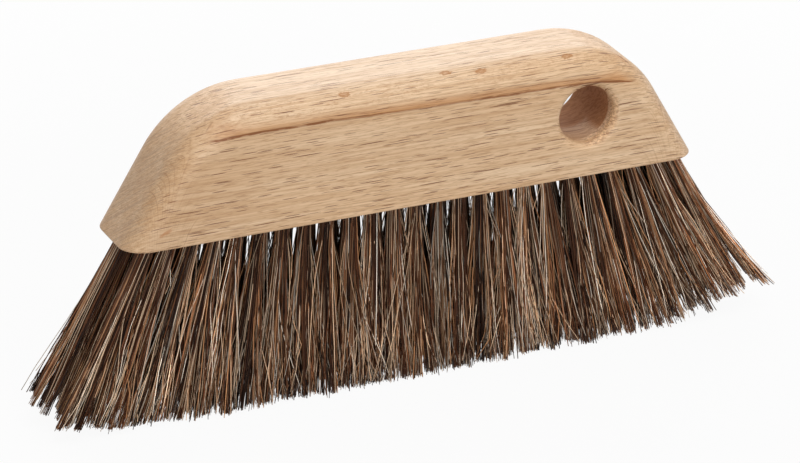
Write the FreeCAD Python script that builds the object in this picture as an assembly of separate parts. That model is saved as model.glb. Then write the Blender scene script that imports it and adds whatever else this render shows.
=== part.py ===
import FreeCAD, Part
import math
import os

from FreeCAD import Vector

# Hand broom: a beech block with a hang hole, drilled in a fan for three staggered rows of bristle tufts.
# Each tuft is folded over a flat wire anchor at the bottom of its own blind hole and trimmed at the tips.
# X runs along the block, Y across it and Z up. The origin is the middle of the plane of the bristle tips.

# Block
block_length = 232.0
block_thickness = 34.0
block_height = 50.0
end_slope_degrees = 30.7
shoulder_radius = 43.0
side_round_over = 9.0

# Hang hole, drilled across the block
hang_hole_diameter = 22.0
hang_hole_rim_radius = 3.5
hang_hole_from_end = 47.5
hang_hole_above_underside = 24.5

# Pattern of the tuft holes in the underside
tufts_in_row = 25
last_tuft_from_end = 7.6
row_spacing = 8.0
row_shift_share = 1 / 4
cell_half_share = 1 / 2
tuft_hole_width = 5.8
tuft_hole_depth = 11.0

# Fan of the holes and tufts along the block
end_tilt_degrees = 31.0
fan_power = 2.2

# Bristles
bristle_length = 70.0
tip_row_spacing = 11.6
neck_drop = 1.0
bloom_drop = 17.0
bloom_corner_share = 0.5
end_tip_rise = 6.0
tip_rise_power = 8
tuft_hole_gap = 0.1
tuft_side_gap = 0.3

# Anchors
anchor_thickness = 0.5
anchor_height = 2.0
anchor_wall_gap = 0.05
fold_bed = 1.8

# How far a cutting body runs past the face that it opens
overrun = 1.0

underside = bristle_length
last_column = (tufts_in_row - 1) / 2 + row_shift_share
tuft_pitch = (block_length / 2 - last_tuft_from_end) / last_column


def columns(row):
    """Column numbers of a row, counted from the middle of the block and shifted left and right in turn."""
    shift = row_shift_share if row else -row_shift_share
    return [index - (tufts_in_row - 1) / 2 + shift for index in range(tufts_in_row)]


def rows():
    """Name and number of each row, front to rear."""
    return [("front", -1), ("middle", 0), ("rear", 1)]


def axis_point(column, row, drop):
    """Point on a tuft's axis at a drop below the underside, or above it where the drop is negative."""
    end_share = abs(column) / last_column
    tilt = math.copysign(math.radians(end_tilt_degrees) * end_share**fan_power, column)
    spread = (tip_row_spacing - row_spacing) / bristle_length
    x = column * tuft_pitch + drop * math.tan(tilt)
    y = row * (row_spacing + drop * spread)
    return Vector(x, y, underside - drop)


def octagon(centre, half_x, half_y, corner):
    """Points of a level outline with its corners cut off at 45 degrees."""
    inner_x = half_x - corner
    inner_y = half_y - corner
    steps = [
        (half_x, -inner_y),
        (half_x, inner_y),
        (inner_x, half_y),
        (-inner_x, half_y),
        (-half_x, inner_y),
        (-half_x, -inner_y),
        (-inner_x, -half_y),
        (inner_x, -half_y),
    ]
    return [centre + Vector(x, y, 0) for x, y in steps]


def even_octagon(centre, half):
    """Points of a level outline with eight equal sides."""
    return octagon(centre, half, half, half * (1 - math.tan(math.pi / 8)))


def flat_face(points):
    """Flat face inside a closed line through the points."""
    return Part.Face(Part.makePolygon([*points, points[0]]))


def stacked(outlines):
    """Solid through level outlines, whose sides run parallel and so join in flat faces."""
    faces = [flat_face(outlines[0]), flat_face(outlines[-1])]
    for upper, lower in zip(outlines, outlines[1:]):
        for side in range(len(upper)):
            faces.append(flat_face([upper[side - 1], upper[side], lower[side], lower[side - 1]]))
    return Part.Solid(Part.Shell(faces))


def block_blank():
    """Block before drilling: a trapezium with rounded shoulders, rounded over along both sides."""
    half_length = block_length / 2
    half_top = half_length - block_height * math.tan(math.radians(end_slope_degrees))
    turn = math.radians(90 - end_slope_degrees)
    tangent = shoulder_radius * math.tan(turn / 2)
    cut_back = shoulder_radius / math.cos(turn / 2) - shoulder_radius

    foot = Vector(half_length, 0, underside)
    corner = Vector(half_top, 0, underside + block_height)
    down_slope = (foot - corner).normalize()
    inwards = (down_slope - Vector(1, 0, 0)).normalize()
    slope_end = corner + down_slope * tangent
    arc_middle = corner + inwards * cut_back
    top_end = corner - Vector(tangent, 0, 0)

    def mirrored(point):
        return Vector(-point.x, point.y, point.z)

    outline = Part.Wire([
        Part.LineSegment(mirrored(foot), foot).toShape(),
        Part.LineSegment(foot, slope_end).toShape(),
        Part.Arc(slope_end, arc_middle, top_end).toShape(),
        Part.LineSegment(top_end, mirrored(top_end)).toShape(),
        Part.Arc(mirrored(top_end), mirrored(arc_middle), mirrored(slope_end)).toShape(),
        Part.LineSegment(mirrored(slope_end), mirrored(foot)).toShape(),
    ])
    slab = Part.Face(outline).extrude(Vector(0, block_thickness, 0))
    slab.translate(Vector(0, -block_thickness / 2, 0))
    return slab.makeFillet(side_round_over, rounded_edges(slab))


def rounded_edges(slab):
    """Edges of both sides that run up the ends and along the top."""
    edges = []
    for edge in slab.Edges:
        middle = edge.CenterOfMass
        on_side = math.isclose(abs(middle.y), block_thickness / 2)
        on_underside = math.isclose(middle.z, underside)
        if on_side and not on_underside:
            edges.append(edge)
    return edges


def hang_hole():
    """Bore across the block, rounded at both rims, as the body that is cut away."""
    side = block_thickness / 2
    wall_end = side - hang_hole_rim_radius
    bore_radius = hang_hole_diameter / 2
    rim_radius = bore_radius + hang_hole_rim_radius
    arc_share = 1 - math.sqrt(1 / 2)

    def rim(sign):
        start = Vector(bore_radius, sign * wall_end, 0)
        middle_x = bore_radius + hang_hole_rim_radius * arc_share
        middle = Vector(middle_x, sign * (side - hang_hole_rim_radius * arc_share), 0)
        return Part.Arc(start, middle, Vector(rim_radius, sign * side, 0)).toShape()

    def line(start, end):
        return Part.LineSegment(Vector(*start, 0), Vector(*end, 0)).toShape()

    past = side + overrun
    profile = Part.Wire([
        line((bore_radius, -wall_end), (bore_radius, wall_end)),
        rim(1),
        line((rim_radius, side), (rim_radius, past)),
        line((rim_radius, past), (0, past)),
        line((0, past), (0, -past)),
        line((0, -past), (rim_radius, -past)),
        line((rim_radius, -past), (rim_radius, -side)),
        rim(-1),
    ])
    bore = Part.Face(profile).revolve(Vector(0, 0, 0), Vector(0, 1, 0), 360)
    from_middle = block_length / 2 - hang_hole_from_end
    bore.translate(Vector(from_middle, 0, underside + hang_hole_above_underside))
    return bore


def tuft_hole(column, row):
    """Blind hole for one tuft, eight-sided to keep the many repeats light."""
    half = tuft_hole_width / 2
    levels = [-tuft_hole_depth, overrun]
    return stacked([even_octagon(axis_point(column, row, drop), half) for drop in levels])


def block():
    """Block with its hang hole and its fan of tuft holes."""
    holes = [tuft_hole(column, row) for name, row in rows() for column in columns(row)]
    return block_blank().cut([hang_hole(), *holes])


def anchor(column, row):
    """Flat wire wedged across the hole, inside the fold of its tuft."""
    width = tuft_hole_width - 2 * anchor_wall_gap
    foot = axis_point(column, row, fold_bed + anchor_height - tuft_hole_depth)
    corner = foot - Vector(anchor_thickness / 2, width / 2, 0)
    return Part.makeBox(anchor_thickness, width, anchor_height, corner)


def root_outline(column, row, drop):
    """Outline of a tuft where its hole grips it."""
    return even_octagon(axis_point(column, row, drop), tuft_hole_width / 2 - tuft_hole_gap)


def bloom_outline(column, row, drop):
    """Outline that fills a tuft's own cell of the fan, less the gap to its neighbours."""
    near = axis_point(column - cell_half_share, row - cell_half_share, drop)
    far = axis_point(column + cell_half_share, row + cell_half_share, drop)
    half_x = (far.x - near.x - tuft_side_gap) / 2
    half_y = (far.y - near.y - tuft_side_gap) / 2
    corner = min(half_x, half_y) * bloom_corner_share
    return octagon((near + far) / 2, half_x, half_y, corner)


def tuft(column, row):
    """One folded tuft: gripped in its hole, blooming below it and trimmed level at the tips."""
    end_share = abs(column) / last_column
    tip_drop = bristle_length - end_tip_rise * end_share**tip_rise_power
    bundle = stacked([
        root_outline(column, row, -tuft_hole_depth),
        root_outline(column, row, neck_drop),
        bloom_outline(column, row, bloom_drop),
        bloom_outline(column, row, tip_drop),
    ])
    return bundle.cut(anchor(column, row))


def nodes():
    """Every named node with its shape."""
    yield "block", block()
    for number, column in enumerate(columns(0), 1):
        yield f"tuft_middle_{number:02d}", tuft(column, 0)
    for number, column in enumerate(columns(1), 1):
        yield f"tuft_pair_{number:02d}", Part.makeCompound([tuft(column, -1), tuft(column, 1)])
    for name, row in rows():
        yield f"anchors_{name}_row", Part.makeCompound([anchor(column, row) for column in columns(row)])


os.makedirs("parts", exist_ok=True)
for name, shape in nodes():
    shape.exportStep(f"parts/{name}.step")
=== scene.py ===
import math

import bmesh
import bpy
import numpy as np
from mathutils import Matrix, Vector


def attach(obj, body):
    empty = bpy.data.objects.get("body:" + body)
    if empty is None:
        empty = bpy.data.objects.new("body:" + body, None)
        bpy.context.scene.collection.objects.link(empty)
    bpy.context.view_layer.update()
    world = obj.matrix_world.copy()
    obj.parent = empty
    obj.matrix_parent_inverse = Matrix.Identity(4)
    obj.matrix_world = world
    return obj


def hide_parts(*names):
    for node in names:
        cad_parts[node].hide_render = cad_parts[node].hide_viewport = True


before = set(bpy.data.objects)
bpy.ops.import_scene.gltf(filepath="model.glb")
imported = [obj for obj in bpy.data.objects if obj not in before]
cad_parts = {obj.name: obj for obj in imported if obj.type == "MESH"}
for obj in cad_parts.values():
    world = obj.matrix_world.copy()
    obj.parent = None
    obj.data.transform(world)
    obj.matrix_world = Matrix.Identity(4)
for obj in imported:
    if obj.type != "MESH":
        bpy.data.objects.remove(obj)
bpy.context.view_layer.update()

# Hand broom: a bare beech block with a hang hole, over three staggered rows of mixed-hair tufts in a fan.
# Lengths are in metres, in the frame of the solids: X along the block, Y across it, Z up from the tips.
# Marks of the wood are placed in millimetres of the same frame.
MM = 0.001

# Block
block_length = 232 * MM
block_thickness = 34 * MM
block_height = 50 * MM
end_slope = math.radians(30.7)
shoulder_radius = 43 * MM
shoulder_steps = 16
side_round_over = 9 * MM
round_over_steps = 12
underside_ease = 0.7 * MM
underside_ease_steps = 3
underside = 70 * MM

# Hang hole
bore_radius = 11 * MM
bore_steps = 72
rim_radius = 3.5 * MM
rim_steps = 8
rim_lip = 0.02 * MM
bore_x = 68.5 * MM
bore_z = underside + 24.5 * MM

# Distances under which places count as level, and under which they are merged
level_tolerance = MM / 100
merge_distance = MM / 1000

# Field of tufts
tufts_in_row = 25
row_shift = 1 / 4
last_tuft_from_end = 7.6 * MM
last_column = (tufts_in_row - 1) / 2 + row_shift
tuft_pitch = (block_length / 2 - last_tuft_from_end) / last_column
row_spacing = 8 * MM
tip_row_spacing = 11.6 * MM
end_tilt = math.radians(31)
fan_power = 2.2
end_draw = 6 * MM
end_draw_power = 5

# Necks of the tufts and the power of their bloom, with the change of both towards the block's ends
neck_radius = 2.45 * MM
outer_neck_gain = 0.3 * MM
middle_neck_extra = 0.2 * MM
middle_neck_gain = 0.8 * MM
outer_bloom = 1.2
outer_bloom_drop_left = 0.6
outer_bloom_drop_right = 0.35
middle_bloom = 0.6
middle_bloom_drop = 0.38
overlap_along = 1.15
overlap_across = 1.1
outside_power = 1.6
fanned_shares = (0.68, 0.85)
frayed_shares = (0.75, 0.95)

# Tips: level along the middle of the broom, higher at its ends, and uneven between locks and hairs
tip_clearance = 0.2 * MM
left_tip_rise = 6 * MM
right_tip_rise = 9 * MM
tip_rise_power = 8
lock_cut = 0.55 * MM
hair_cut = 0.12 * MM
short_cut = 9 * MM
stray_cut = (1 * MM, 4 * MM)
frayed_lock_cut = 3 * MM
frayed_hair_cut = 1.2 * MM

# Bristles
bristle_sides = 3
bristle_radii = (0.12 * MM, 0.24 * MM)
pale_radius_share = 0.75
tip_taper = 0.08
root_depth = 2 * MM
ring_shares = np.array([0.0, 0.06, 0.14, 0.24, 0.36, 0.48, 0.61, 0.74, 0.87, 1.0])
middle_doublings = 7
outer_doublings = 8
golden_turn = math.pi * (3 - math.sqrt(5))
bristle_seed = 75

# Locks that the bristles are drawn into, and the shares of bristles that are loose, stray or cut short
locks_in_tuft = 9
lock_scatter = 0.09
lock_looseness = 0.4
hair_reach = 0.45
loose_share = 0.4
stray_share = 0.07
short_share = 0.04

# Wander of the bristles and their locks, along and across the block
hair_lean = np.array([0.4, 0.4]) * MM
loose_lean = np.array([2.0, 0.8]) * MM
stray_lean = np.array([7.0, 0.0]) * MM
lock_lean = np.array([1.5, 0.8]) * MM
frayed_lean = np.array([0.5, 1.0]) * MM
extra_bow = np.array([0.4, 0.6]) * MM
lock_bow = np.array([1.4, 0.7]) * MM
frayed_bow = np.array([1.6, 1.0]) * MM
hair_wave = 0.6 * MM
wave_turns = (0.8, 2.2)
frayed_wave = 1.5
end_calm = 0.6
end_calm_power = 12

# Mix of hair from near black to white: tone, share of the bristles and colour
hair_mix = [
    (0.00, 0.26, (33, 15, 4)),
    (0.18, 0.25, (80, 45, 24)),
    (0.36, 0.18, (128, 82, 54)),
    (0.52, 0.10, (168, 122, 84)),
    (0.68, 0.12, (234, 202, 168)),
    (0.84, 0.06, (202, 176, 150)),
    (1.00, 0.03, (250, 240, 224)),
]
palest_lock_tone = 0.52
pale_tone = 0.6
stray_tones = (0.45, 1.0)
frayed_tone_gain = 0.13
like_lock_share = 0.2
tone_scatter = 0.03
hair_light_scatter = 0.36
lock_light_scatter = 0.22
# Painted shade on the middle row: the lightness its bristles keep, and the shares at its ends that are
# spared it
middle_row_painted_shade = 0.42
end_shares_spared_painted_shade = (0.85, 0.98)

# Growth of the beech, in millimetres from a pith below and behind the block
pith_y = 97
pith_z = 17
layer_thickness = 3.2
ray_slope = math.radians(41.3)

# The darkest growth layer, a streak below the front rounding, with the stretches where it is strongest
dark_layer_radius = 146.7
dark_layer_slope = 0.0115
dark_layer_drop = 3.1
dark_layer_drop_power = 12
dark_layer_middle = 2
dark_layer_reach = 88
dark_layer_fade = (115.5, 113.0)
dark_left_run = (-87, -78, -45, -15)
dark_hole_run = (64, 74, 86, 92)

# Marks of the wood
stain_at = (-100.8, -17, 77)
stain_size = (3.2, 2.0, 0.9)
stain_turn = math.radians(-25)
pin_knots_at = [(-30.2, -13.6, 118), (11.4, -11.9, 119.1), (24.9, -13.3, 118.2), (60.3, -13.1, 118.4)]
pin_knot_size = (2.381, 1.0526, 1.0526)
curl_heights = (112.5, 114.5, 118.6, 119.8)
rear_rounding_y = (7, 10)
rear_rounding_z = (110, 113)
darker_left_x = (-40, -110)
# Heights over which the top is painted paler, a painted sheen
painted_sheen_top_z = (118.0, 119.8)
beech_relief = 0.15 * MM

# Studio
lamp_distance = 1.4
even_light = 0.34
floor_half_width = 6


def tint(red, green, blue):
    """Colour for a socket, from the values of a picture of 0 to 255."""
    shares = [channel / 255 for channel in (red, green, blue)]
    return (*[((share + 0.055) / 1.055) ** 2.4 for share in shares], 1.0)


class Value:
    """One socket of a material's nodes. Sums and products of values add Math nodes."""

    def __init__(self, tree, socket=None):
        self.tree = tree
        self.socket = socket

    def node(self, kind, settings, sockets, output=0):
        """Add a node with its settings and its sockets' values or links, and give one of its outputs."""
        node = self.tree.nodes.new(kind)
        for name, setting in settings.items():
            if name == "stops":
                set_stops(node.color_ramp, setting)
            else:
                setattr(node, name, setting)
        for name, value in sockets.items():
            if isinstance(value, Value):
                self.tree.links.new(value.socket, node.inputs[name])
            else:
                node.inputs[name].default_value = value
        return Value(self.tree, node.outputs[output] if node.outputs else None)

    def math(self, operation, first, second=0.0):
        """Add a Math node."""
        return self.node("ShaderNodeMath", {"operation": operation}, {0: first, 1: second})

    def __add__(self, other):
        return self.math("ADD", self, other)

    def __radd__(self, other):
        return self.math("ADD", other, self)

    def __sub__(self, other):
        return self.math("SUBTRACT", self, other)

    def __rsub__(self, other):
        return self.math("SUBTRACT", other, self)

    def __mul__(self, other):
        return self.math("MULTIPLY", self, other)

    def __rmul__(self, other):
        return self.math("MULTIPLY", other, self)

    def __truediv__(self, other):
        return self.math("DIVIDE", self, other)

    def __pow__(self, other):
        return self.math("POWER", self, other)


def set_stops(ramp, stops):
    """Give a colour ramp its stops."""
    while len(ramp.elements) < len(stops):
        ramp.elements.new(1.0)
    for element, (position, colour) in zip(ramp.elements, stops):
        element.position = position
        element.color = colour


def new_finish(name):
    """A material with no nodes yet, and the value that starts them."""
    material = bpy.data.materials.new(name)
    material.use_nodes = True
    material.node_tree.nodes.clear()
    return material, Value(material.node_tree)


def surface(start, sockets):
    """Close a material with the sockets of its surface."""
    shader = start.node("ShaderNodeBsdfPrincipled", {}, sockets)
    start.node("ShaderNodeOutputMaterial", {}, {"Surface": shader})


def scaled(vector, scale):
    """A place or a colour times one value."""
    return vector.node("ShaderNodeVectorMath", {"operation": "SCALE"}, {0: vector, "Scale": scale})


def length(vector):
    """Distance of a place from the origin of its coordinates."""
    return vector.node("ShaderNodeVectorMath", {"operation": "LENGTH"}, {0: vector}, "Value")


def split(place):
    """The three coordinates of a place."""
    return [place.node("ShaderNodeSeparateXYZ", {}, {"Vector": place}, axis) for axis in range(3)]


def place_in_mm(start):
    """Object coordinates in millimetres."""
    return scaled(start.node("ShaderNodeTexCoord", {}, {}, "Object"), 1 / MM)


def in_spans(place, spans):
    """A place whose three coordinates are counted in spans."""
    return place.node("ShaderNodeMapping", {}, {"Vector": place, "Scale": [1 / span for span in spans]})


def on_mark(place, centre, size, turn=0.0):
    """A place counted from the centre of a mark, in the mark's size and turned with it on the front."""
    sockets = {"Vector": place, "Location": centre, "Rotation": (0, turn, 0), "Scale": size}
    return place.node("ShaderNodeMapping", {"vector_type": "TEXTURE"}, sockets)


def noise(place, spans, detail=2.0, roughness=0.5):
    """Noise from 0 to 1 whose features are about as long as the spans along the three axes."""
    sockets = {"Vector": in_spans(place, spans), "Scale": 1.0, "Detail": detail, "Roughness": roughness}
    return place.node("ShaderNodeTexNoise", {}, sockets)


def chance_of(number):
    """Random value from 0 to 1 for each whole number."""
    return number.node("ShaderNodeTexWhiteNoise", {"noise_dimensions": "1D"}, {"W": number}, "Value")


def eased(value, low, high):
    """0 below low, 1 above high, and a smooth rise between. Low may lie above high."""
    sockets = {"Value": value, "From Min": low, "From Max": high}
    return value.node("ShaderNodeMapRange", {"interpolation_type": "SMOOTHSTEP"}, sockets)


def between(value, start, full_from, full_to, stop):
    """1 along the full stretch, and a smooth fall to 0 at its start and stop."""
    return eased(value, start, full_from) * eased(value, stop, full_to)


def mixed(factor, first, second):
    """Colour between two others."""
    return factor.node("ShaderNodeMix", {"data_type": "RGBA"}, {0: factor, 6: first, 7: second}, 2)


def from_dark_layer(place):
    """Distance outwards from the darkest growth layer, and the place along it as a share of its reach."""
    x, y, z = split(place)
    from_pith_y = y - pith_y
    from_pith_z = z - pith_z + (noise(place, (30, 14, 14), 3.0) - 0.5) * 2.0
    pith_distance = (from_pith_y * from_pith_y + from_pith_z * from_pith_z) ** 0.5
    along = place.math("ABSOLUTE", (x - dark_layer_middle) / dark_layer_reach)
    drop = along**dark_layer_drop_power * dark_layer_drop
    return pith_distance + x * dark_layer_slope + drop - dark_layer_radius, along


def growth_layers(place):
    """Dark late wood of the growth layers and of the streak, and the blush along the streak."""
    x, y, z = split(place)
    off, along = from_dark_layer(place)
    beside = place.node("ShaderNodeCombineXYZ", {}, {"X": x, "Y": off})

    # All layers: faint and patchy on the sides, clear where the ends turn
    layer = off / layer_thickness
    number = layer.math("FLOOR", layer)
    patchy = eased(noise(place, (40, 6, 6)), 0.3, 0.7)
    turned = eased(along, 0.99, 1.1)
    arcs = eased(noise(beside, (60, 0.45, 1), 2.0, 0.6), 0.55, 0.65)
    edge = eased(layer - number, 0.9, 0.98) * (chance_of(number) * 0.3 + 0.18)
    late_wood = edge * place.math("MAXIMUM", patchy * 0.25, turned) + turned * arcs * 0.2

    # The darkest layer: one crisp broken line with a ruddy band and fine strands above it
    strands = eased(noise(beside, (18, 0.3, 1), 3.0, 0.6), 0.52, 0.6)
    uneven = eased(noise(place, (22, 9, 9)), 0.42, 0.58)
    broken = eased(noise(beside, (9, 1.5, 1), 3.0, 0.6), 0.36, 0.52)
    left_run = between(x, *dark_left_run)
    hole_run = between(x, *dark_hole_run)
    seen = eased(z, *dark_layer_fade) * (eased(along, 1.12, 0.96) * 0.8 + 0.2)
    weight = (left_run * 0.38 + hole_run * 0.7 + uneven * 0.45 + 0.42) * eased(along, 0.99, 0.94)
    steep = eased(along, 0.88, 1.0) * 3.0 + 1
    line = eased(place.math("ABSOLUTE", off) * steep, 0.45, 0.12) * weight * (broken * 0.6 + 0.4)
    band = eased(off, -0.2, 0.2) * eased(off * steep, 2.6, 0.4) * seen * eased(along, 0.99, 0.9)
    late_wood = late_wood + seen * line + band * strands * (0.7 - left_run * 0.4)
    return late_wood, band * (1 - left_run * 0.3)


def along_rays(place):
    """Coordinates along the grain, along the wood's rays and across them."""
    return place.node("ShaderNodeMapping", {}, {"Vector": place, "Rotation": (ray_slope, 0, 0)})


def ray_flecks(grain, spans, width, rare):
    """Rays cut through: dashes along the grain on the sides, a share of them dark and the rest faint."""
    lengthwise, depth, across = split(in_spans(grain, spans))
    shift = chance_of(across.math("FLOOR", across)) * 20
    shifted = grain.node("ShaderNodeCombineXYZ", {}, {"X": lengthwise + shift, "Y": depth, "Z": across})
    sockets = {"Vector": shifted, "Scale": 1.0}
    distance = grain.node("ShaderNodeTexVoronoi", {"feature": "F1"}, sockets, "Distance")
    chance = split(grain.node("ShaderNodeTexVoronoi", {"feature": "F1"}, sockets, "Color"))[0]
    return eased(distance, width, width * 0.8) * (eased(chance, rare, rare + 0.25) * 0.85 + 0.1)


def pin_knots(place):
    """Small scars of buds along the front of the top, darker at their edges."""
    rough = (noise(place, (1.4, 0.6, 0.6)) - 0.5) * 1.5
    scars = 0.0
    for centre in pin_knots_at:
        distance = length(on_mark(place, centre, pin_knot_size)) + rough
        scars = scars + eased(distance, 1.15, 0.8) * (eased(distance, 0.0, 0.8) * 0.5 + 0.5)
    return scars


def sanded_curl(place):
    """Fine curl where the long roundings cut through the growth layers at a shallow angle."""
    rounding = between(split(place)[2], *curl_heights)
    patches = eased(noise(place, (26, 7, 7)), 0.38, 0.52)
    return eased(noise(place, (1.7, 0.8, 0.5), 3.0, 0.65), 0.5, 0.62) * rounding * patches


def stain(place):
    """One small ruddy smear low on the front, near the left end."""
    smear = on_mark(place, stain_at, stain_size, stain_turn)
    rough = (noise(smear, (0.5, 1.0, 0.4), 3.0, 0.6) - 0.5) * 2.0
    return eased(length(smear) + rough, 1.0, 0.5)


def bore_marks(place):
    """Raw bore of the hang hole with painted shade in it, its torn rim, and the rim's cracks and pale
    fibres.
    """
    x, y, z = split(place)
    off_x = x - bore_x / MM
    off_z = z - bore_z / MM
    distance = (off_x * off_x + off_z * off_z) ** 0.5 - bore_radius / MM
    torn_side = eased(off_x * 0.85 - off_z * 0.5, 3, 8)
    rim_start = (block_thickness / 2 - rim_radius) / MM
    in_rim = eased(torn_side * 2.4 - y, rim_start - 0.3, rim_start + 0.9)
    # Painted shade: the bore is darker deep in and above its floor, lighter only at the front of its floor
    painted_shade_in_bore = place.math("MAXIMUM", eased(y, -3.0, 0.5), eased(off_z, -9.6, -7.4))
    wall_and_painted_shade = eased(distance, 0.9, 0.1) * (1 - in_rim) * (painted_shade_in_bore * 0.5 + 0.38)

    ragged = distance + (noise(place, (2.5, 2.0, 1.4), 3.0) - 0.5) * 2.4
    torn = in_rim * torn_side * eased(ragged, 2.3, 1.3)
    crumbs = noise(place, (1.4, 1.1, 0.6), 4.0, 0.7)
    cracks = torn * eased(crumbs, 0.52, 0.6)
    fibres = torn * eased(crumbs, 0.46, 0.38)
    return wall_and_painted_shade, torn, cracks, fibres


def end_grain(place):
    """1 on the sloped ends, where the grain is cut across."""
    x, _, z = split(place)
    end_x = block_length / MM / 2 - (z - underside / MM) * math.tan(end_slope)
    return eased(end_x - place.math("ABSOLUTE", x), 4.0, 1.0)


def beech_finish():
    """Bare plain-sawn beech: growth layers, ray flecks, fine lines, pin knots and a rough hang hole."""
    material, start = new_finish("bare beech")
    place = place_in_mm(start)
    place_x, place_y, place_z = split(place)
    grain = along_rays(place)
    late_wood, blush = growth_layers(place)
    wall_and_painted_shade, torn, cracks, fibres = bore_marks(place)
    ends = end_grain(place)
    curl = sanded_curl(place)
    long_flecks = ray_flecks(grain, (24, 6, 0.55), 0.27, 0.56)
    short_flecks = ray_flecks(grain, (12, 4, 0.42), 0.28, 0.46)
    rear_rounding = eased(place_y, *rear_rounding_y) * eased(place_z, *rear_rounding_z)
    faint = start.math("MAXIMUM", ends * 0.7, rear_rounding * 0.8)
    flecks = start.math("MAXIMUM", long_flecks, short_flecks) * (1 - faint)

    fine = noise(grain, (60, 2.5, 0.7), 3.0, 0.65)
    pores = noise(grain, (6, 0.9, 0.32), 2.0, 0.6)
    broad = noise(grain, (150, 5, 22), 3.0)
    ruddy = noise(grain, (110, 9, 30))
    end_lines = noise(grain, (40, 40, 0.5), 3.0, 0.65)

    shades = [
        (eased(broad, 0.3, 0.7) * 0.5, (203, 164, 123)),
        (eased(place_x, *darker_left_x) * 0.3, (186, 146, 106)),
        # Painted sheen: the top is painted paler and whiter
        (eased(place_z, *painted_sheen_top_z) * 0.4, (226, 204, 178)),
        (eased(fine, 0.36, 0.68) * 0.6, (180, 137, 92)),
        (eased(pores, 0.5, 0.68) * 0.6, (162, 118, 74)),
        (curl * 0.5, (178, 132, 88)),
        (blush * 0.65, (188, 126, 64)),
        (late_wood, (126, 70, 6)),
        (flecks, (106, 56, 2)),
        (pin_knots(place) * 0.8, (160, 102, 36)),
        (stain(place) * 0.6, (176, 112, 56)),
        (ends * eased(end_lines, 0.42, 0.62) * 0.42, (148, 118, 92)),
        # Colour of the raw bore, stronger where the mask carries painted shade
        (wall_and_painted_shade, (168, 111, 65)),
        (wall_and_painted_shade * eased(fine, 0.46, 0.58) * 0.35, (112, 66, 34)),
        (torn * 0.3, (206, 154, 104)),
        (cracks * 0.42, (118, 66, 22)),
        (fibres * 0.8, (240, 200, 154)),
    ]
    colour = mixed(eased(ruddy, 0.3, 0.7), tint(226, 196, 161), tint(222, 188, 150))
    for share, shade in shades:
        colour = mixed(share, colour, tint(*shade))

    height = pores * 0.4 - curl * 0.6 - flecks * 0.6 - cracks * 2.0 + fibres
    bump = start.node("ShaderNodeBump", {}, {"Strength": 0.35, "Distance": beech_relief, "Height": height})
    roughness = fine * 0.14 + wall_and_painted_shade * 0.4 + 0.4
    sockets = {"Base Color": colour, "Roughness": roughness, "Normal": bump, "Specular IOR Level": 0.6}
    surface(start, sockets)
    return material


def bristle_finish():
    """Mixed natural hair: each bristle has its own tone, mottled along it, and painted shade darkens its
    root.
    """
    material, start = new_finish("mixed hair")
    names = ("tone", "light", "along")
    tone, light, along = [
        start.node("ShaderNodeAttribute", {"attribute_name": name}, {}, "Fac") for name in names
    ]
    stops = [(position, tint(*colour)) for position, share, colour in hair_mix]
    colour = start.node("ShaderNodeValToRGB", {"stops": stops}, {"Fac": tone}, "Color")
    mottle = noise(place_in_mm(start), (1.5, 1.5, 12))
    # Painted shade: a little darker at the root; the light attribute also carries the middle row's painted
    # shade
    shade = light * (mottle * 0.5 + 0.75) * (eased(along, 0.0, 0.35) * 0.08 + 0.97)
    roughness = mottle * 0.2 + 0.3
    sockets = {"Base Color": scaled(colour, shade), "Roughness": roughness, "Specular IOR Level": 0.2}
    surface(start, sockets)
    return material


def anchor_finish():
    """Drawn steel wire."""
    material, start = new_finish("drawn steel wire")
    lines = noise(place_in_mm(start), (0.2, 6, 0.1), 3.0)
    colour = mixed(lines, tint(150, 150, 148), tint(190, 190, 188))
    surface(start, {"Base Color": colour, "Roughness": lines * 0.25 + 0.25, "Metallic": 1.0})
    return material


def seen_white(start):
    """1 for the rays that show the background as it is, 0 for those that light the broom."""
    names = ("Is Camera Ray", "Is Glossy Ray", "Is Transmission Ray")
    seen, mirrored, passed = [start.node("ShaderNodeLightPath", {}, {}, name) for name in names]
    return start.math("MAXIMUM", seen, start.math("MAXIMUM", mirrored, passed))


def floor_finish():
    """Pale floor that looks white and keeps a soft shadow near the broom."""
    material, start = new_finish("white studio floor")
    white_share = seen_white(start) * (eased(length(place_in_mm(start)), 150, 600) * 0.07 + 0.93)
    pale = start.node("ShaderNodeBsdfDiffuse", {}, {"Color": (0.6, 0.6, 0.6, 1)})
    white = start.node("ShaderNodeEmission", {}, {"Color": (1, 1, 1, 1), "Strength": 1.0})
    shader = start.node("ShaderNodeMixShader", {}, {0: white_share, 1: pale, 2: white})
    start.node("ShaderNodeOutputMaterial", {}, {"Surface": shader})
    return material


def piece_from(name, bm, finish):
    """Object at the origin from a finished bmesh."""
    mesh = bpy.data.meshes.new(name)
    bm.to_mesh(mesh)
    bm.free()
    return piece_of(name, mesh, finish)


def piece_of(name, mesh, finish):
    """Object at the origin that shows a mesh."""
    piece = bpy.data.objects.new(name, mesh)
    bpy.context.scene.collection.objects.link(piece)
    mesh.materials.clear()
    mesh.materials.append(finish)
    return piece


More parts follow.
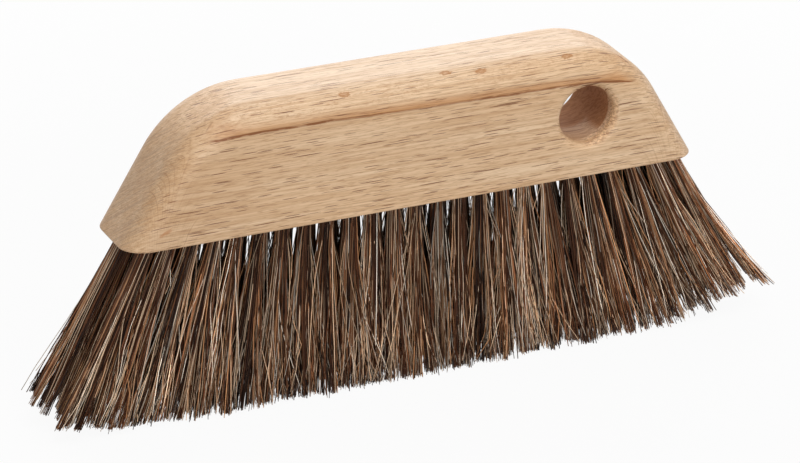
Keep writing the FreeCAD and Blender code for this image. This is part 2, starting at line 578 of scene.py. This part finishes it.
def block_blank():
    """Block before drilling: the outline of its front side, extruded across and rounded over."""
    front = -block_thickness / 2
    top = underside + block_height
    turn = math.pi / 2 - end_slope
    tangent = shoulder_radius * math.tan(turn / 2)
    shoulder_x = block_length / 2 - block_height * math.tan(end_slope) - tangent

    bm = bmesh.new()
    top_end = bm.verts.new((shoulder_x, front, top))
    centre = (shoulder_x, front, top - shoulder_radius)
    bmesh.ops.spin(bm, geom=[top_end], cent=centre, axis=(0, 1, 0), angle=turn, steps=shoulder_steps)
    slope_end = max(bm.verts, key=lambda vert: vert.co.x)
    foot = bm.verts.new((block_length / 2, front, underside))
    bm.edges.new((slope_end, foot))
    bmesh.ops.mirror(bm, geom=bm.verts[:] + bm.edges[:], axis="X", merge_dist=0.0)
    for level in (top, underside):
        pair = [vert for vert in bm.verts if math.isclose(vert.co.z, level, abs_tol=level_tolerance)]
        bmesh.ops.contextual_create(bm, geom=pair)
    side = bmesh.ops.edgeloop_fill(bm, edges=bm.edges[:])["faces"]
    moved = bmesh.ops.extrude_face_region(bm, geom=side)["geom"]
    bmesh.ops.translate(bm, verts=only_verts(moved), vec=(0, block_thickness, 0))
    bmesh.ops.recalc_face_normals(bm, faces=bm.faces[:])

    round_edges(bm, side_edges(bm), side_round_over, round_over_steps)
    round_edges(bm, underside_edges(bm), underside_ease, underside_ease_steps)
    return bm


def only_verts(geom):
    """Vertices among what an operator made."""
    return [item for item in geom if isinstance(item, bmesh.types.BMVert)]


def highest(edge):
    """Height of an edge's upper end."""
    return max(vert.co.z for vert in edge.verts)


def side_edges(bm):
    """Edges of both sides that run up the ends and along the top."""
    edges = []
    for edge in bm.edges:
        first, second = edge.verts
        across = abs(first.co.y - second.co.y) > block_thickness / 2
        if not across and highest(edge) >= underside + level_tolerance:
            edges.append(edge)
    return edges


def underside_edges(bm):
    """Edges round the underside."""
    return [edge for edge in bm.edges if highest(edge) < underside + level_tolerance]


def round_edges(bm, edges, radius, segments):
    """Round edges over."""
    bmesh.ops.bevel(
        bm, geom=edges, offset=radius, offset_type="OFFSET", segments=segments, profile=0.5,
        affect="EDGES", material=-1, clamp_overlap=False,
    )


def bore_tool():
    """Body that the hang hole takes out of the block, flared to the rounded rims."""
    side = block_thickness / 2
    past = side + MM
    flare_centre = (bore_radius + rim_radius, -side + rim_radius - rim_lip, 0)
    quarter = math.pi / 2
    bm = bmesh.new()
    wall_end = bm.verts.new((bore_radius, flare_centre[1], 0))
    bmesh.ops.spin(bm, geom=[wall_end], cent=flare_centre, axis=(0, 0, 1), angle=quarter, steps=rim_steps)
    lip = min(bm.verts, key=lambda vert: vert.co.y)
    outside = bm.verts.new((bore_radius + rim_radius, -past, 0))
    middle = bm.verts.new((0, -past, 0))
    bm.edges.new((lip, outside))
    bm.edges.new((outside, middle))
    bmesh.ops.mirror(bm, geom=bm.verts[:] + bm.edges[:], axis="Y", merge_dist=0.0)
    wall_ends = [
        vert for vert in bm.verts if math.isclose(vert.co.x, bore_radius, abs_tol=level_tolerance)
    ]
    bmesh.ops.contextual_create(bm, geom=wall_ends)
    bmesh.ops.spin(
        bm, geom=bm.verts[:] + bm.edges[:], cent=(0, 0, 0), axis=(0, 1, 0), angle=math.tau,
        steps=bore_steps, use_merge=True,
    )
    bmesh.ops.remove_doubles(bm, verts=bm.verts[:], dist=merge_distance)
    bmesh.ops.translate(bm, verts=bm.verts[:], vec=(bore_x, 0, bore_z))
    bmesh.ops.recalc_face_normals(bm, faces=bm.faces[:])
    return bm


def beech_block(finish):
    """The block with its hang hole, in place of the solid one."""
    blank = piece_from("beech_blank", block_blank(), finish)
    tool = piece_from("bore_tool", bore_tool(), finish)
    cut = blank.modifiers.new("hang hole", "BOOLEAN")
    cut.operation = "DIFFERENCE"
    cut.solver = "EXACT"
    cut.object = tool
    shown = blank.evaluated_get(bpy.context.evaluated_depsgraph_get())
    mesh = bpy.data.meshes.new_from_object(shown)
    for spare in (blank, tool):
        bpy.data.objects.remove(spare)

    block = piece_of("beech_block", mesh, finish)
    mesh.shade_smooth()
    even = block.modifiers.new("flat sides stay flat", "WEIGHTED_NORMAL")
    even.weight = 100
    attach(block, "root")
    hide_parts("block")


def bristle_bundle(doublings):
    """Straight bristles one unit apart, each a closed tube whose rings stand one unit apart."""
    bm = bmesh.new()
    bmesh.ops.create_circle(bm, cap_ends=False, radius=0.25, segments=bristle_sides)
    ring = bm.edges[:]
    for step in range(len(ring_shares) - 1):
        grown = bmesh.ops.extrude_edge_only(bm, edges=ring)["geom"]
        moved = only_verts(grown)
        bmesh.ops.translate(bm, verts=moved, vec=(0, 0, 1))
        edges = [item for item in grown if isinstance(item, bmesh.types.BMEdge)]
        ring = [edge for edge in edges if all(vert in moved for vert in edge.verts)]
    bmesh.ops.holes_fill(bm, edges=bm.edges[:], sides=bristle_sides)
    for doubling in range(doublings):
        copies = bmesh.ops.duplicate(bm, geom=bm.verts[:] + bm.edges[:] + bm.faces[:])["geom"]
        bmesh.ops.translate(bm, verts=only_verts(copies), vec=(2**doubling, 0, 0))
    mesh = bpy.data.meshes.new(f"straight bristles {doublings}")
    bm.to_mesh(mesh)
    bm.free()
    mesh.shade_smooth()
    return mesh


def axis_x(column, drop):
    """Place along the block of a tuft's axis, at a drop below the underside."""
    tilt = np.sign(column) * end_tilt * (np.abs(column) / last_column) ** fan_power
    return column * tuft_pitch + drop * np.tan(tilt)


def row_pitch(drop):
    """Distance between the rows at a drop below the underside."""
    return row_spacing + drop * (tip_row_spacing - row_spacing) / underside


def smooth_rise(values, low, high):
    """0 below low, 1 above high, and a smooth rise between."""
    share = np.clip((values - low) / (high - low), 0, 1)
    return share * share * (3 - 2 * share)


def even_disc(count, turn):
    """Places spread evenly over a disc of radius 1."""
    order = np.arange(count)
    reach = np.sqrt((order + 0.5) / count)
    angle = order * golden_turn + turn
    return np.stack([reach * np.cos(angle), reach * np.sin(angle)], axis=1)


def squared(disc):
    """Places on a disc of radius 1, moved outwards to fill the square round it."""
    reach = np.linalg.norm(disc, axis=1, keepdims=True)
    longest = np.abs(disc).max(axis=1, keepdims=True)
    return disc * np.minimum(reach / longest, 1 / longest)


def hair_tones(chance, count):
    """Tones of the mix, from near black to white."""
    tones, shares, colours = zip(*hair_mix)
    return chance.choice(tones, size=count, p=shares)


class Tuft:
    """One tuft: its bristles' places in the hole, the locks they join, and those that leave them."""

    def __init__(self, column, row, doublings, chance):
        self.column = column
        self.row = row
        self.chance = chance
        self.count = 2**doublings
        self.root = even_disc(self.count, chance.uniform(0, math.tau))
        self.locks = even_disc(locks_in_tuft, chance.uniform(0, math.tau))
        self.locks += chance.normal(0, lock_scatter, self.locks.shape)
        apart = np.linalg.norm(self.root[:, None, :] - self.locks[None, :, :], axis=2)
        self.lock = apart.argmin(axis=1)
        self.loose = chance.random(self.count) < loose_share
        self.stray = chance.random(self.count) < stray_share

        # How near the tuft and each bristle are to the row's end, and how frayed the right end is here
        self.end_share = abs(column) / last_column
        self.hair_end_share = np.abs(column + hair_reach * self.root[:, 0]) / last_column
        self.frayed = smooth_rise(column / last_column, *frayed_shares)

    def bristles(self):
        """Rings of every bristle with their radii, and the bristles' tones and lightness."""
        drop = self.drops()
        fall = np.clip(drop / underside, 0, None)
        across = self.bloom(drop, fall) + self.wander(fall)
        drawn = fall**2 - fall if self.column > 0 else fall
        drawn = drawn * end_draw * self.hair_end_share[:, None] ** end_draw_power
        x = axis_x(self.column, drop) + drawn + across[:, :, 0]
        y = self.row * row_pitch(drop) + across[:, :, 1]
        path = np.stack([x, y, underside - drop], axis=2)

        tone, light = self.colours()
        thinner = np.where(tone > pale_tone, pale_radius_share, 1)
        thick = self.chance.uniform(*bristle_radii, self.count) * thinner
        radius = thick[:, None] * (1 - tip_taper * ring_shares[None, :])
        return path, radius, tone, light

    def drops(self):
        """Drop of each bristle's rings below the underside, from inside the hole to where it is cut."""
        chance = self.chance
        lock_cuts = np.abs(chance.normal(0, lock_cut, locks_in_tuft))
        lock_cuts += self.frayed * chance.uniform(0, frayed_lock_cut, locks_in_tuft)
        short = chance.random(self.count) < short_share
        cut = np.abs(chance.normal(0, hair_cut, self.count)) + lock_cuts[self.lock]
        cut += short * chance.uniform(0, short_cut, self.count)
        cut += self.stray * chance.uniform(*stray_cut, self.count)
        cut += self.frayed * chance.exponential(frayed_hair_cut, self.count)
        tip_rise = right_tip_rise if self.column > 0 else left_tip_rise
        tip_drop = underside - tip_clearance - tip_rise * self.hair_end_share**tip_rise_power - cut
        return -root_depth + ring_shares[None, :] * (tip_drop[:, None] + root_depth)

    def bloom(self, drop, fall):
        """Places of the rings round the tuft's axis, from the round hole to the whole of its own cell."""
        own = self.locks[self.lock]
        tips = squared(own + (self.root - own) * lock_looseness)
        fanned = smooth_rise(self.end_share, *fanned_shares)
        if self.row:
            # Bristles of the outer rows are densest on the outside
            inwards = np.clip((1 - self.row * tips[:, 1]) / 2, 0, 1)
            tips[:, 1] = self.row * (1 - 2 * inwards**outside_power)
            tips[self.stray, 1] = self.row
            bloom_drop = outer_bloom_drop_left if self.column < 0 else outer_bloom_drop_right
            opened = fall ** (outer_bloom - fanned * bloom_drop)
            neck = neck_radius + fanned * outer_neck_gain
        else:
            opened = fall ** (middle_bloom - fanned * middle_bloom_drop)
            neck = neck_radius + middle_neck_extra + fanned * middle_neck_gain
        half_x = (axis_x(self.column + 0.5, drop) - axis_x(self.column - 0.5, drop)) / 2
        half_y = row_pitch(drop) / 2
        width = neck + (overlap_along * half_x - neck) * opened
        depth = neck + (overlap_across * half_y - neck) * opened
        gathered = smooth_rise(fall, 0.05, 0.9)[:, :, None]
        spot = self.root[:, None, :] * (1 - gathered) + tips[:, None, :] * gathered
        return np.stack([width, depth], axis=2) * spot

    def wander(self, fall):
        """Lean, bow and wave of each bristle, with the lean and bow of its lock."""
        chance = self.chance
        hairs = (self.count, 2)
        locks = (locks_in_tuft, 2)
        calm = 1 - end_calm * self.hair_end_share[:, None] ** end_calm_power
        freedom = self.loose[:, None] * loose_lean + self.stray[:, None] * stray_lean + hair_lean
        lean = chance.normal(0, 1, hairs) * freedom * calm
        lean += chance.normal(0, 1, locks)[self.lock] * (lock_lean + self.frayed * frayed_lean)
        bow = chance.normal(0, 1, hairs) * (freedom + extra_bow) * calm
        bow += chance.normal(0, 1, locks)[self.lock] * (lock_bow + self.frayed * frayed_bow)
        wave = chance.normal(0, hair_wave, hairs) * (1 + self.stray[:, None] + frayed_wave * self.frayed)
        phase = chance.uniform(0, math.tau, self.count)
        turns = chance.uniform(*wave_turns, self.count)
        ripple = np.sin(math.tau * turns[:, None] * fall + phase[:, None]) * fall
        return (
            lean[:, None, :] * fall[:, :, None]
            + bow[:, None, :] * (fall * fall - 0.6 * fall)[:, :, None]
            + wave[:, None, :] * ripple[:, :, None]
        )

    def colours(self):
        """Tone of each bristle, and its lightness, with painted shade on the middle row but for its ends.
        """
        chance = self.chance
        lock_tones = np.minimum(hair_tones(chance, locks_in_tuft), palest_lock_tone)
        like_lock = chance.random(self.count) < like_lock_share
        tone = np.where(like_lock, lock_tones[self.lock], hair_tones(chance, self.count))
        stray_tone = chance.uniform(*stray_tones, self.count)
        tone = np.where(self.stray, stray_tone, tone + self.frayed * frayed_tone_gain)
        tone = np.clip(tone + chance.normal(0, tone_scatter, self.count), 0, 1)
        light = chance.normal(0, hair_light_scatter, self.count)
        light = np.exp(light + chance.normal(0, lock_light_scatter, locks_in_tuft)[self.lock])
        # Painted shade: the middle row's bristles are darkened, but for its ends
        if not self.row:
            spared_painted_shade = smooth_rise(self.end_share, *end_shares_spared_painted_shade)
            light *= middle_row_painted_shade + (1 - middle_row_painted_shade) * spared_painted_shade
        return tone, light


def bristles(name, node, tufts, doublings, bundle, finish, chance):
    """Bristles of the tufts of one node, shaped from a bundle of straight ones."""
    grown = [Tuft(column, row, doublings, chance).bristles() for column, row in tufts]
    path, radius, tone, light = [np.concatenate(values) for values in zip(*grown)]

    mesh = bundle.copy()
    mesh.name = name
    straight = np.empty(len(mesh.vertices) * 3)
    mesh.vertices.foreach_get("co", straight)
    straight = straight.reshape(-1, 3)
    hair = np.rint(straight[:, 0]).astype(int)
    ring = np.rint(straight[:, 2]).astype(int)
    turn = np.arctan2(straight[:, 1], straight[:, 0] - hair)

    tangent = np.gradient(path, axis=1)
    tangent /= np.linalg.norm(tangent, axis=2, keepdims=True)
    sideways = np.cross(tangent, np.array([0.0, 1.0, 0.0]))
    sideways /= np.linalg.norm(sideways, axis=2, keepdims=True)
    forwards = np.cross(tangent, sideways)
    around = np.cos(turn)[:, None] * sideways[hair, ring] + np.sin(turn)[:, None] * forwards[hair, ring]
    shaped = path[hair, ring] + radius[hair, ring][:, None] * around
    mesh.vertices.foreach_set("co", shaped.ravel())
    # The light attribute holds each bristle's lightness, with the middle row's painted shade
    attributes = {"tone": tone[hair], "light": light[hair], "along": ring_shares[ring]}
    for attribute, values in attributes.items():
        data = mesh.attributes.new(attribute, "FLOAT", "POINT").data
        data.foreach_set("value", values.astype(np.float32))
    mesh.update()

    piece = piece_of(name, mesh, finish)
    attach(piece, "root")
    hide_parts(node)


def all_bristles(finish):
    """Every tuft: the middle row one by one, the front and rear rows in pairs."""
    chance = np.random.default_rng(bristle_seed)
    single = bristle_bundle(middle_doublings)
    double = bristle_bundle(outer_doublings + 1)
    for number in range(1, tufts_in_row + 1):
        middle = number - 1 - last_column
        name = f"bristles_middle_{number:02d}"
        node = f"tuft_middle_{number:02d}"
        bristles(name, node, [(middle, 0)], middle_doublings, single, finish, chance)
    for number in range(1, tufts_in_row + 1):
        outer = last_column + number - tufts_in_row
        name = f"bristles_pair_{number:02d}"
        node = f"tuft_pair_{number:02d}"
        bristles(name, node, [(outer, -1), (outer, 1)], outer_doublings, double, finish, chance)
    for spare in (single, double):
        bpy.data.meshes.remove(spare)


def dress_anchors(finish):
    """Wire finish for the solid anchors inside the block."""
    for row in ("front", "middle", "rear"):
        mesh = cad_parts[f"anchors_{row}_row"].data
        mesh.materials.clear()
        mesh.materials.append(finish)


def studio_floor():
    """Wide floor under the tips."""
    bm = bmesh.new()
    bmesh.ops.create_grid(bm, x_segments=1, y_segments=1, size=floor_half_width)
    floor = piece_from("studio_floor", bm, floor_finish())


def studio_world():
    """Even light from all round, white behind the broom."""
    world = bpy.data.worlds.new("white studio")
    world.use_nodes = True
    world.node_tree.nodes.clear()
    start = Value(world.node_tree)
    light = start.node("ShaderNodeBackground", {}, {"Color": (1, 1, 1, 1), "Strength": even_light})
    white = start.node("ShaderNodeBackground", {}, {"Color": (1, 1, 1, 1), "Strength": 1.0})
    shader = start.node("ShaderNodeMixShader", {}, {0: seen_white(start), 1: light, 2: white})
    start.node("ShaderNodeOutputWorld", {}, {"Surface": shader})
    bpy.context.scene.world = world


def soft_box(name, direction, size, level):
    """Square lamp that faces the broom, with the level of light that it gives a surface facing it."""
    lamp = bpy.data.lights.new(name, "AREA")
    lamp.shape = "SQUARE"
    lamp.size = size
    lamp.energy = level * math.pi * math.pi * lamp_distance**2
    box = bpy.data.objects.new(name, lamp)
    towards = Vector(direction).normalized()
    box.location = Vector((0, 0, underside)) + towards * lamp_distance
    box.rotation_euler = towards.to_track_quat("Z", "Y").to_euler()
    bpy.context.scene.collection.objects.link(box)


def photo_camera():
    """Camera at the angle of the photograph: from the front left, above and a little turned."""
    azimuth = math.radians(25.99)
    elevation = math.radians(25.12)
    roll = math.radians(1.52)
    distance = 1714.8 * MM
    target = Vector((0.3 * MM, 0, 52.2 * MM))
    back = Vector((
        -math.sin(azimuth) * math.cos(elevation),
        -math.cos(azimuth) * math.cos(elevation),
        math.sin(elevation),
    ))
    level = Vector((math.cos(azimuth), -math.sin(azimuth), 0))
    upright = back.cross(level)
    right = level * math.cos(roll) + upright * math.sin(roll)
    up = upright * math.cos(roll) - level * math.sin(roll)

    camera = bpy.data.cameras.new("photo camera")
    camera.sensor_width = 36
    camera.lens = 208
    holder = bpy.data.objects.new("photo camera", camera)
    turned = Matrix((right, up, back)).transposed().to_4x4()
    holder.matrix_world = Matrix.Translation(target + back * distance) @ turned
    bpy.context.scene.collection.objects.link(holder)
    bpy.context.scene.camera = holder


beech_block(beech_finish())
all_bristles(bristle_finish())
dress_anchors(anchor_finish())
studio_floor()
studio_world()
soft_box("top box", direction=(0.0, -0.34, 0.94), size=1.0, level=0.62)
soft_box("front box", direction=(0.0, -0.95, 0.26), size=0.8, level=0.32)
soft_box("back box", direction=(0.22, 0.8, 0.5), size=1.4, level=0.6)
photo_camera()
bpy.context.scene.view_settings.view_transform = "Standard"
